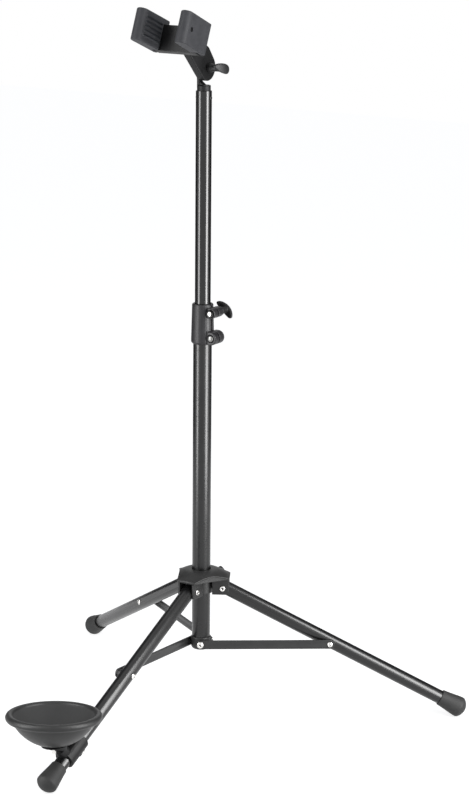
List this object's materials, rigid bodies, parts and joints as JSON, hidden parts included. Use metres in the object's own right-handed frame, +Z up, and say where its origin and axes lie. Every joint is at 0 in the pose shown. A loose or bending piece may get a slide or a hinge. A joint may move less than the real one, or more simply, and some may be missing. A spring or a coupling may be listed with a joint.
{
  "type": "bassoon stand",
  "caption": "Folding tripod stand for a bassoon: telescopic column, tilting padded fork to hold the instrument and a rubber cup on one leg for its foot.",
  "frame": {"origin": "the centre of the bounding box's base, on the floor; the column's axis stands at x 0, y 0.1051", "axes": "+Z up along the column; -Y towards the leg that carries the cup, which is also the way the fork opens; +X to the fork's wing handle"},
  "size_m": [0.6436, 0.5958, 0.9734],
  "materials": {
    "tube_paint": "semi-gloss black powder coat",
    "hub_plastic": "finely textured black moulding",
    "clamp_plastic": "finely textured dark grey moulding",
    "wing_plastic": "satin dark grey moulding",
    "foot_rubber": "matt black rubber",
    "cup_rubber": "matt dark grey rubber",
    "pad_rubber": "soft dark grey rubber, ribbed inside",
    "strut_paint": "satin black",
    "bright_steel": "nickel-plated",
    "dark_steel": "blackened",
    "glide_plastic": "natural nylon"
  },
  "bodies": {
    "column": {"outer_tube": "tube_paint", "column_end_fitting": "hub_plastic", "height_clutch": "clamp_plastic", "clutch_clamp_screw": "bright_steel", "clutch_clamp_nut": "bright_steel", "clutch_lock_nut": "bright_steel", "column_rivet_front": "bright_steel", "column_rivet_right": "bright_steel", "column_rivet_left": "bright_steel"},
    "mast_glide": {"mast_glide": "glide_plastic"},
    "mast": {"inner_tube": "tube_paint", "fork_stem": "hub_plastic", "stem_rivet": "bright_steel", "tilt_nut": "bright_steel"},
    "fork": {"fork_yoke": "clamp_plastic", "fork_pad_left": "pad_rubber", "fork_pad_right": "pad_rubber", "fork_screw_left": "dark_steel", "fork_screw_right": "dark_steel"},
    "tilt_wing": {"tilt_wing": "wing_plastic", "tilt_wing_stud": "bright_steel"},
    "clutch_wing": {"clutch_wing": "wing_plastic", "clutch_wing_stud": "bright_steel"},
    "hub": {"hub": "hub_plastic", "hub_pin_front": "bright_steel", "hub_pin_right": "bright_steel", "hub_pin_left": "bright_steel"},
    "hub_wing": {"hub_wing": "wing_plastic", "hub_wing_stud": "bright_steel"},
    "leg_front": {"leg_tube_front": "tube_paint", "foot_front": "foot_rubber", "strut_spacer_front": "hub_plastic", "strut_rivet_tail_front": "bright_steel"},
    "leg_right": {"leg_tube_right": "tube_paint", "foot_right": "foot_rubber", "strut_spacer_right": "hub_plastic", "strut_rivet_tail_right": "bright_steel"},
    "leg_left": {"leg_tube_left": "tube_paint", "foot_left": "foot_rubber", "strut_spacer_left": "hub_plastic", "strut_rivet_tail_left": "bright_steel"},
    "strut_front": {"strut_front": "strut_paint", "strut_rivet_front": "bright_steel"},
    "strut_right": {"strut_right": "strut_paint", "strut_rivet_right": "bright_steel"},
    "strut_left": {"strut_left": "strut_paint", "strut_rivet_left": "bright_steel"},
    "cup_clamp": {"cup_clamp": "clamp_plastic", "cup_clamp_screw": "bright_steel", "cup_clamp_nut": "bright_steel"},
    "cup": {"cup": "cup_rubber", "cup_screw": "bright_steel"}
  },
  "joints": [
    {"name": "hub_slide", "type": "slide", "parent": "column", "child": "hub", "axis": [0, 0, 1], "range_m": [0, 0.261]},
    {"name": "mast_slide", "type": "slide", "parent": "column", "child": "mast_glide", "axis": [0, 0, 1], "range_m": [-0.265, 0.065]},
    {"name": "mast_swivel", "type": "hinge", "parent": "mast_glide", "child": "mast", "pos_m": [0, 0.10514, 0.6604], "axis": [0, 0, 1], "continuous": true},
    {"name": "fork_tilt", "type": "hinge", "parent": "mast", "child": "fork", "pos_m": [0, 0.10514, 0.8908], "axis": [1, 0, 0], "range_deg": [-50, 60]},
    {"name": "tilt_wing_turn", "type": "hinge", "parent": "fork", "child": "tilt_wing", "pos_m": [0, 0.10514, 0.8908], "axis": [1, 0, 0], "continuous": true},
    {"name": "clutch_wing_turn", "type": "hinge", "parent": "column", "child": "clutch_wing", "pos_m": [0.0186, 0.10514, 0.5654], "axis": [0, 1, 0], "continuous": true},
    {"name": "hub_wing_turn", "type": "hinge", "parent": "hub", "child": "hub_wing", "pos_m": [0, 0.10514, 0.1809], "axis": [0, 1, 0], "continuous": true},
    {"name": "leg_fold_front", "type": "hinge", "parent": "hub", "child": "leg_front", "pos_m": [0, 0.07542, 0.1809], "axis": [1, 0, 0], "range_deg": [0, 61.92]},
    {"name": "leg_fold_right", "type": "hinge", "parent": "hub", "child": "leg_right", "pos_m": [0.02574, 0.12, 0.1809], "axis": [-0.5, 0.866, 0], "range_deg": [0, 61.92]},
    {"name": "leg_fold_left", "type": "hinge", "parent": "hub", "child": "leg_left", "pos_m": [-0.02574, 0.12, 0.1809], "axis": [-0.5, -0.866, 0], "range_deg": [0, 61.92]},
    {"name": "strut_fold_front", "type": "hinge", "parent": "column", "child": "strut_front", "pos_m": [0, 0.10514, 0.0997], "axis": [-1, 0, 0], "range_deg": [0, 77.82]},
    {"name": "strut_fold_right", "type": "hinge", "parent": "column", "child": "strut_right", "pos_m": [0, 0.10514, 0.0997], "axis": [0.5, -0.866, 0], "range_deg": [0, 77.82]},
    {"name": "strut_fold_left", "type": "hinge", "parent": "column", "child": "strut_left", "pos_m": [0, 0.10514, 0.0997], "axis": [0.5, 0.866, 0], "range_deg": [0, 77.82]},
    {"name": "cup_clamp_slide", "type": "slide", "parent": "leg_front", "child": "cup_clamp", "axis": [0, -0.8902, -0.4555], "range_m": [-0.1, 0.007]},
    {"name": "cup_swivel", "type": "hinge", "parent": "cup_clamp", "child": "cup", "pos_m": [0, -0.23615, 0.09852], "axis": [-0.0522, 0.0802, 0.9954], "continuous": true}
  ],
  "couplings": [
    {"joint": "leg_fold_front", "follows": "hub_slide", "rad_per_m": 4.1393},
    {"joint": "leg_fold_right", "follows": "hub_slide", "rad_per_m": 4.1393},
    {"joint": "leg_fold_left", "follows": "hub_slide", "rad_per_m": 4.1393},
    {"joint": "strut_fold_front", "follows": "hub_slide", "rad_per_m": 5.2024},
    {"joint": "strut_fold_right", "follows": "hub_slide", "rad_per_m": 5.2024},
    {"joint": "strut_fold_left", "follows": "hub_slide", "rad_per_m": 5.2024}
  ]
}
